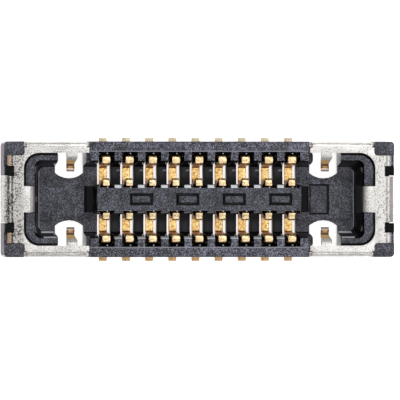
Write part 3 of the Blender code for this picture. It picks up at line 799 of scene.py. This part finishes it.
SIDE_SHADE_SHARE = 0.3
INNER_MARKS_START_X = 2.81
INNER_MARKS_END_X = 2.835
OUTER_MARKS_START_X = 2.865
OUTER_MARKS_END_X = 2.892
PLATE_START_X = 2.62
PLATE_FULL_X = 2.70
PLATE_WEAR = 0.65
LAST_TURN = 0.02
LAST_TURN_FADE = 0.015
LAST_TURN_SHADE = 0.3
BARE_START_X = 2.83
BARE_FULL_X = 2.85
END_TURN_START_X = 2.87
END_TURN_END_X = 2.925
TAB_TURN = 0.075
TAB_FOOT_START = 0.50
TAB_FOOT_FULL = 0.46
TAB_FOOT_SHADE = 0.8
PLATED_METALLIC = 0.7
FINGER_METALLIC = 0.3
MATTE_ROUGHNESS = 0.40
CLOUDED_ROUGHNESS = 0.52
BURNISHED_ROUGHNESS = 0.24
CUT_ROUGHNESS = 0.4
SHEET_GRAIN_DEPTH = 0.000004
BARE_EDGE_SPECKS = 0.5
FOLD_STEPS = 10
PLATE_CORNER_STEPS = 12
BLOCK_CORNER_STEPS = 6
RIGHT_FINISH = {"share": 0.43, "end_wear": 0.45, "bare_edge": 0.0, "end_shade": 0.8, "tab_shade": 0.0}
LEFT_FINISH = {"share": 0.47, "end_wear": 0.85, "bare_edge": 0.8, "end_shade": 0.0, "tab_shade": 0.8}
PALE_PLATING = (0.92, 0.90, 0.87, 1.0)
DULL_ON_STRIPS = (0.40, 0.385, 0.37, 1.0)
DULL_ON_PLATES = (0.05, 0.045, 0.04, 1.0)
SHADED_PLATING = (0.30, 0.26, 0.29, 1.0)
FINGER_TIP_SHADE = (0.10, 0.05, 0.03, 1.0)
WORN_AND_SHADED_PLATING = (0.42, 0.40, 0.38, 1.0)
PRESS_MARK_AND_SHADE_DARK = (0.03, 0.028, 0.025, 1.0)
CUT_COPPER = (0.80, 0.50, 0.36, 1.0)
BARE_EDGE = (0.55, 0.36, 0.18, 1.0)
TIP_GOLD = (0.85, 0.56, 0.25, 1.0)


def cut_across(position, axis):
    """Cuts the flat blank along a line at a place on the x or y axis."""
    bpy.ops.mesh.select_all(action="SELECT")
    normal = (1.0, 0.0, 0.0) if axis == "x" else (0.0, 1.0, 0.0)
    spot = (position, 0.0, 0.0) if axis == "x" else (0.0, position, 0.0)
    bpy.ops.mesh.bisect(plane_co=spot, plane_no=normal)


def cut_away(blank, across_x, across_y, is_gone):
    """Cuts the blank along lines, deletes the parts that are gone and joins the rest to one face."""
    for x in across_x:
        cut_across(x, "x")
    for y in across_y:
        cut_across(y, "y")
        cut_across(-y, "y")
    bpy.ops.mesh.select_mode(type="FACE")
    bpy.ops.mesh.select_all(action="DESELECT")
    mesh = bmesh.from_edit_mesh(blank.data)
    for face in mesh.faces:
        middle = face.calc_center_median()
        face.select_set(is_gone(middle.x, abs(middle.y)))
    bmesh.update_edit_mesh(blank.data)
    bpy.ops.mesh.delete(type="FACE")
    bpy.ops.mesh.select_all(action="SELECT")
    bpy.ops.mesh.dissolve_faces()
    bpy.ops.mesh.dissolve_limited(angle_limit=FLAT_ANGLE)


def flat_blank():
    """The flat part of the right-hand fitting as one face, with the ends of its folds marked."""
    lip_x = HALF_LENGTH - FOLD_RADIUS
    side_y = HALF_WIDTH - FOLD_RADIUS
    tab_x = TAB_FACE_X + FOLD_RADIUS
    bpy.ops.object.select_all(action="DESELECT")
    middle = (STRIP_START_X + PLATE_EDGE_X) / 2
    bpy.ops.mesh.primitive_plane_add(size=1.0, location=(middle, 0.0, FITTING_TOP))
    blank = bpy.context.active_object
    blank.scale = (PLATE_EDGE_X - STRIP_START_X, 2 * side_y, 1.0)
    bpy.ops.object.transform_apply(location=True, scale=True)
    bpy.ops.object.mode_set(mode="EDIT")

    def over_cavity(x, y):
        return x < PLATE_INNER_X and y < STRIP_INNER_Y and not (x > tab_x and y < TAB_Y)

    def over_block(x, y):
        return x > STRIP_END_X and y > BLOCK_Y

    def past_lip(x, y):
        return (x > lip_x and y < BOSS_INNER_Y) or (x > BOSS_X and BOSS_INNER_Y < y < BOSS_OUTER_Y)

    cut_away(blank, (tab_x, PLATE_INNER_X), (TAB_Y, STRIP_INNER_Y), over_cavity)
    round_corner(blank, PLATE_INNER_X, STRIP_INNER_Y, PLATE_CORNER, PLATE_CORNER_STEPS)
    cut_away(blank, (STRIP_END_X,), (BLOCK_Y,), over_block)
    round_corner(blank, STRIP_END_X, BLOCK_Y, BLOCK_CORNER, BLOCK_CORNER_STEPS)
    cut_away(blank, (BOSS_X, lip_x), (BOSS_INNER_Y, BOSS_OUTER_Y), past_lip)
    half_root = FINGER_ROOT_WIDTH / 2
    finger_sides = (OPENING_X - half_root, OPENING_X + half_root)
    for x in (STRIP_START_X + LEG_RELIEF, *finger_sides, STRIP_END_X - LEG_RELIEF):
        cut_across(x, "x")
    bpy.ops.mesh.select_all(action="SELECT")
    bpy.ops.mesh.dissolve_faces()
    return blank


def round_corner(blank, x, y, radius, steps):
    """Rounds the corner at a place and its mirror image across the long middle line."""
    bpy.ops.mesh.select_mode(type="VERT")
    bpy.ops.mesh.select_all(action="DESELECT")
    mesh = bmesh.from_edit_mesh(blank.data)
    for side in (1, -1):
        spot = Vector((x, side * y, FITTING_TOP))
        min(mesh.verts, key=lambda v: (v.co - spot).length).select_set(True)
    bmesh.update_edit_mesh(blank.data)
    bpy.ops.mesh.bevel(offset=radius, segments=steps, affect="VERTICES")


def slope_vector(across, pitch):
    """The unit vector that climbs at so many degrees. across is the way that it leaves the plate."""
    climb = math.radians(pitch)
    return Vector((across[0] * math.cos(climb), across[1] * math.cos(climb), math.sin(climb)))


def draw(spot, reach, across, pitch):
    """Extrudes the edge along a slope, and returns its new place."""
    move = reach * slope_vector(across, pitch)
    bpy.ops.mesh.extrude_region_move(TRANSFORM_OT_translate={"value": move})
    return spot + move


def roll(spot, radius, across, pitch, degrees, steps):
    """Spins the edge through a fold, down where degrees are negative, and returns its new place."""
    side = math.copysign(90.0, degrees)
    centre = spot + radius * slope_vector(across, pitch + side)
    axis = (across[1], -across[0], 0.0)
    bpy.ops.mesh.spin(steps=steps, angle=-math.radians(degrees), center=centre, axis=axis)
    return centre + radius * slope_vector(across, pitch + degrees - side)


def fold_leg(blank, low, high, across, bottom):
    """A quarter fold at the plate's edge between two corners, then straight down to a height."""
    spot = Vector(((low[0] + high[0]) / 2, (low[1] + high[1]) / 2, FITTING_TOP))
    select_edges(blank, (*low, FITTING_TOP), (*high, FITTING_TOP))
    spot = roll(spot, FOLD_RADIUS, across, 0.0, -90.0, FOLD_STEPS)
    draw(spot, spot.z - bottom, across, -90.0)


def fold_finger(blank, side):
    """A spring finger: down and in from the strip, with its tip curled back up."""
    across = (0.0, -side)
    spot = Vector((OPENING_X, side * STRIP_INNER_Y, FITTING_TOP))
    half_root = Vector((FINGER_ROOT_WIDTH / 2, 0.0, 0.0))
    select_edges(blank, spot - half_root, spot + half_root)
    spot = roll(spot, FINGER_ROOT_BEND, across, 0.0, -FINGER_SLOPE, FOLD_STEPS)
    spot = draw(spot, FINGER_LENGTH, across, -FINGER_SLOPE)
    narrower = FINGER_TIP_WIDTH / FINGER_ROOT_WIDTH
    bpy.ops.transform.resize(value=(narrower, 1.0, 1.0), center_override=spot)
    spot = roll(spot, FINGER_TIP_BEND, across, -FINGER_SLOPE, FINGER_SLOPE + FINGER_CURL, FOLD_STEPS)
    draw(spot, FINGER_LIP, across, FINGER_CURL)


def folded_fitting():
    """The right-hand fitting as a folded skin, which has no thickness yet."""
    blank = flat_blank()
    leg_start = STRIP_START_X + LEG_RELIEF
    leg_end = STRIP_END_X - LEG_RELIEF
    side_y = HALF_WIDTH - FOLD_RADIUS
    lip_x = HALF_LENGTH - FOLD_RADIUS
    tab_x = TAB_FACE_X + FOLD_RADIUS
    bpy.ops.mesh.select_mode(type="EDGE")
    for side in (1, -1):
        fold_leg(blank, (leg_start, side * side_y), (leg_end, side * side_y), (0.0, side), 0.0)
        fold_finger(blank, side)
    fold_leg(blank, (lip_x, -BOSS_INNER_Y), (lip_x, BOSS_INNER_Y), (1.0, 0.0), 0.0)
    fold_leg(blank, (tab_x, -TAB_Y), (tab_x, TAB_Y), (-1.0, 0.0), TAB_BOTTOM)
    bpy.ops.mesh.select_all(action="SELECT")
    bpy.ops.mesh.remove_doubles(threshold=MERGE_GAP)
    bpy.ops.mesh.normals_make_consistent(inside=False)
    bpy.ops.object.mode_set(mode="OBJECT")
    return blank


def finger_masks(tree, spot):
    """The spring fingers, their gold plated lower ends, and painted shade on those ends' bends and sides."""
    out_y = spot["Out Y"]
    near = ramp(tree, spot["Out X"], FINGER_END_X + FINGER_FADE, FINGER_END_X)
    finger = product(tree, near, ramp(tree, out_y, STRIP_INNER_Y, STRIP_INNER_Y - FADE))
    gold_end = product(tree, finger, ramp(tree, out_y, GOLD_START_Y, GOLD_FULL_Y))
    aside = distance_from(tree, spot["Out X"], OPENING_X)
    sides = ramp(tree, aside, TIP_HALF_WIDTH, TIP_HALF_WIDTH + TIP_SIDE_FADE)
    sides = product(tree, sides, ramp(tree, out_y, TIP_BEND_START_Y, TIP_BEND_START_Y - FADE / 2))
    bend = band(tree, out_y, TIP_BEND_START_Y, TIP_BEND_END_Y)
    lip = ramp(tree, out_y, TIP_LIP_Y + FADE / 2, TIP_LIP_Y)
    return finger, gold_end, product(tree, finger, any_of(tree, sides, bend, lip))


def press_marks_and_fold_shade(tree, spot, end_wear):
    """Where the folds darken: painted shade in specks on the front side folds, and press marks in two lines
    along the end fold.
    """
    up = ramp(tree, spot["Height"], MARK_AND_SHADE_START_HEIGHT, MARK_AND_SHADE_FULL_HEIGHT)
    # Painted shade on the front side folds.
    side_fold = ramp(tree, spot["Out Y"], SIDE_SHADE_START_Y, SIDE_SHADE_FULL_Y)
    side_fold = product(tree, side_fold, opposite(tree, spot["Rear"]), SIDE_SHADE_SHARE)
    inner = band(tree, spot["Out X"], INNER_MARKS_START_X, INNER_MARKS_END_X)
    outer = band(tree, spot["Out X"], OUTER_MARKS_START_X, OUTER_MARKS_END_X)
    end_fold = product(tree, any_of(tree, inner, outer), end_wear)
    return product(tree, any_of(tree, side_fold, end_fold), up)


def plate_skin(tree, spot, specks, share, end_wear):
    """The colour of the flat plate: dull specks, crisper and darker round the end, and press marks.
    Painted shade darkens the last turn of the side folds, and the front side folds in specks.
    """
    crisp = use_group(tree, grain, Grain_Size=0.022, Share=share, Softness=0.03)
    marks = use_group(tree, grain, Grain_Size=0.03, Share=0.58, Softness=0.03)
    plate = ramp(tree, spot["Out X"], PLATE_START_X, PLATE_FULL_X)
    end_plate = product(tree, plate, end_wear)
    # Worn darker on the end plate, and a painted shade on the last, steep turn of the side folds.
    start = HALF_WIDTH - LAST_TURN
    last_turn = ramp(tree, spot["Out Y"], start - LAST_TURN_FADE, start)
    worn_and_shaded = any_of(tree, product(tree, end_plate, PLATE_WEAR), product(tree, last_turn, LAST_TURN_SHADE))
    colour = blend_colours(tree, worn_and_shaded, PALE_PLATING, WORN_AND_SHADED_PLATING)
    dull = blend_colours(tree, end_plate, DULL_ON_STRIPS, DULL_ON_PLATES)
    spotted = blend_values(tree, plate, specks["Specks"], crisp["Specks"])
    colour = blend_colours(tree, spotted, colour, dull)
    # Press marks on the end fold, and painted shade in specks on the front side folds.
    pressed_and_shaded = product(tree, press_marks_and_fold_shade(tree, spot, end_wear), marks["Specks"])
    return plate, blend_colours(tree, pressed_and_shaded, colour, PRESS_MARK_AND_SHADE_DARK)


def pale_plating(name, share, end_wear, bare_edge, end_shade, tab_shade):
    """Matte plating with dull specks, press marks on its end fold, and gold on the fingers' lower ends.
    Painted shade darkens some folds, the tab's lower part and the bends and sides of the fingers' ends.
    """
    made, tree, shader = new_material(name, PLATED_METALLIC)
    specks = use_group(tree, grain, Grain_Size=0.02, Share=share)
    spot = use_group(tree, place)
    plate, colour = plate_skin(tree, spot, specks, share, end_wear)
    bare = product(
        tree,
        band(tree, spot["Out Y"], BOSS_OUTER_Y, BLOCK_Y),
        ramp(tree, spot["Out X"], BARE_START_X, BARE_FULL_X),
        opposite(tree, product(tree, specks["Specks"], BARE_EDGE_SPECKS)),
        bare_edge,
    )
    colour = blend_colours(tree, bare, colour, BARE_EDGE)
    end_turn = product(tree, band(tree, spot["Out X"], END_TURN_START_X, END_TURN_END_X), end_shade)
    colour = blend_colours(tree, end_turn, colour, SHADED_PLATING)
    on_tab = ramp(tree, spot["Out Y"], TAB_Y + FADE, TAB_Y)
    tab_turn = band(tree, spot["Out X"], TAB_FACE_X, TAB_FACE_X + TAB_TURN)
    colour = blend_colours(tree, product(tree, on_tab, tab_turn, tab_shade), colour, SHADED_PLATING)
    # Painted shade on the lower part of the tab, below the plate.
    low = ramp(tree, spot["Height"], TAB_FOOT_START, TAB_FOOT_FULL)
    tab_foot = product(tree, on_tab, low, opposite(tree, plate), TAB_FOOT_SHADE)
    colour = blend_colours(tree, tab_foot, colour, PRESS_MARK_AND_SHADE_DARK)
    finger, gold_end, dark = finger_masks(tree, spot)
    colour = blend_colours(tree, gold_end, colour, TIP_GOLD)
    # Painted shade on the bends and sides of the fingers' gold ends.
    tree.links.new(blend_colours(tree, dark, colour, FINGER_TIP_SHADE), shader.inputs["Base Color"])
    metallic = blend_values(tree, finger, PLATED_METALLIC, FINGER_METALLIC)
    tree.links.new(metallic, shader.inputs["Metallic"])
    fold_start = HALF_WIDTH - FOLD_RADIUS
    burnished = ramp(tree, spot["Out Y"], fold_start, fold_start + FADE)
    roughness = blend_values(tree, specks["Clouds"], MATTE_ROUGHNESS, CLOUDED_ROUGHNESS)
    roughness = blend_values(tree, burnished, roughness, BURNISHED_ROUGHNESS)
    tree.links.new(roughness, shader.inputs["Roughness"])
    tree.links.new(bump_from(tree, specks["Height"], SHEET_GRAIN_DEPTH), shader.inputs["Normal"])
    return made


def cut_edge():
    """The sheared edge of the sheet, where the copper alloy shows."""
    made, tree, shader = new_material("cut_copper_edge", 1.0)
    specks = use_group(tree, grain, Grain_Size=0.012, Share=0.5)
    colour = blend_colours(tree, specks["Specks"], CUT_COPPER, PALE_PLATING)
    tree.links.new(colour, shader.inputs["Base Color"])
    shader.inputs["Roughness"].default_value = CUT_ROUGHNESS
    return made


first_fitting = folded_fitting()
copper = cut_edge()
for name, turned, finish in (
    ("hold_down_right", 0.0, RIGHT_FINISH),
    ("hold_down_left", math.pi, LEFT_FINISH),
):
    fitting = bpy.data.objects.new("folded_" + name, first_fitting.data.copy())
    bpy.context.scene.collection.objects.link(fitting)
    fitting.data.materials.append(pale_plating(name + "_plating", **finish))
    fitting.data.materials.append(copper)
    sheet_thickness(fitting, SHEET, -1.0, rim_slot=1)
    round_edges(fitting, SHEARED_EDGE)
    fitting.rotation_euler.z = turned
    work_on(fitting)
    bpy.ops.object.transform_apply(rotation=True)
    to_real_size(fitting)
    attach(fitting, "root")
    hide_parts(name)
bpy.data.objects.remove(first_fitting)

# The light table
# The connector lies on a white table that glows a little, so the openings in its floor show plain white.

TABLE_SIZE = 0.2
TABLE_GAP = 0.000002
TABLE_GLOW = 0.8
TABLE_ROUGHNESS = 0.6
TABLE_WHITE = (0.9, 0.9, 0.9, 1.0)
PLAIN_WHITE = (1.0, 1.0, 1.0, 1.0)

bpy.ops.object.select_all(action="DESELECT")
bpy.ops.mesh.primitive_plane_add(size=TABLE_SIZE, location=(0, 0, cad_low.z - TABLE_GAP))
table = bpy.context.active_object
table.name = "light_table"
white, _, white_shader = new_material("light_table_white", 0.0)
white_shader.inputs["Base Color"].default_value = TABLE_WHITE
white_shader.inputs["Roughness"].default_value = TABLE_ROUGHNESS
white_shader.inputs["Emission Color"].default_value = PLAIN_WHITE
white_shader.inputs["Emission Strength"].default_value = TABLE_GLOW
table.data.materials.append(white)

# The lights
# Five soft boxes: a long one overhead, a bright one behind the connector, which draws a line along the
# rear folds, and one at each other side for the edges. The room is dim, and the camera sees it white.

ROOM_LIGHT = 0.05


def softbox(name, size, location, radiance):
    """A rectangular lamp that looks at the connector and gives off so much light from each bit of it."""
    data = bpy.data.lights.new(name, "AREA")
    data.shape = "RECTANGLE"
    data.size, data.size_y = size
    data.energy = radiance * math.pi * size[0] * size[1]
    lamp = bpy.data.objects.new(name, data)
    bpy.context.scene.collection.objects.link(lamp)
    lamp.location = location
    lamp.rotation_euler = lamp.location.to_track_quat("Z", "Y").to_euler()
    lamp.visible_camera = False


softbox("overhead_softbox", size=(0.05, 0.20), location=(0.007, 0.0, 0.06), radiance=1.0)
softbox("rear_softbox", size=(0.06, 0.014), location=(0.008, 0.050, 0.050), radiance=6.5)
softbox("front_softbox", size=(0.06, 0.032), location=(0.008, -0.055, 0.043), radiance=2.2)
softbox("right_softbox", size=(0.008, 0.08), location=(0.055, 0.0, 0.044), radiance=5.0)
softbox("left_softbox", size=(0.008, 0.08), location=(-0.055, 0.0, 0.044), radiance=2.5)

world = bpy.data.worlds.new("studio")
bpy.context.scene.world = world
world.use_nodes = True
tree = world.node_tree
room = tree.nodes["Background"]
room.inputs["Color"].default_value = PLAIN_WHITE
room.inputs["Strength"].default_value = ROOM_LIGHT
backdrop = add(tree, "ShaderNodeBackground", {"Color": PLAIN_WHITE, "Strength": 1.0})
path = add(tree, "ShaderNodeLightPath")
seen = add(
    tree,
    "ShaderNodeMixShader",
    {0: path.outputs["Is Camera Ray"], 1: room.outputs["Background"], 2: backdrop.outputs["Background"]},
)
tree.links.new(seen.outputs["Shader"], tree.nodes["World Output"].inputs["Surface"])
bpy.context.scene.view_settings.view_transform = "Standard"
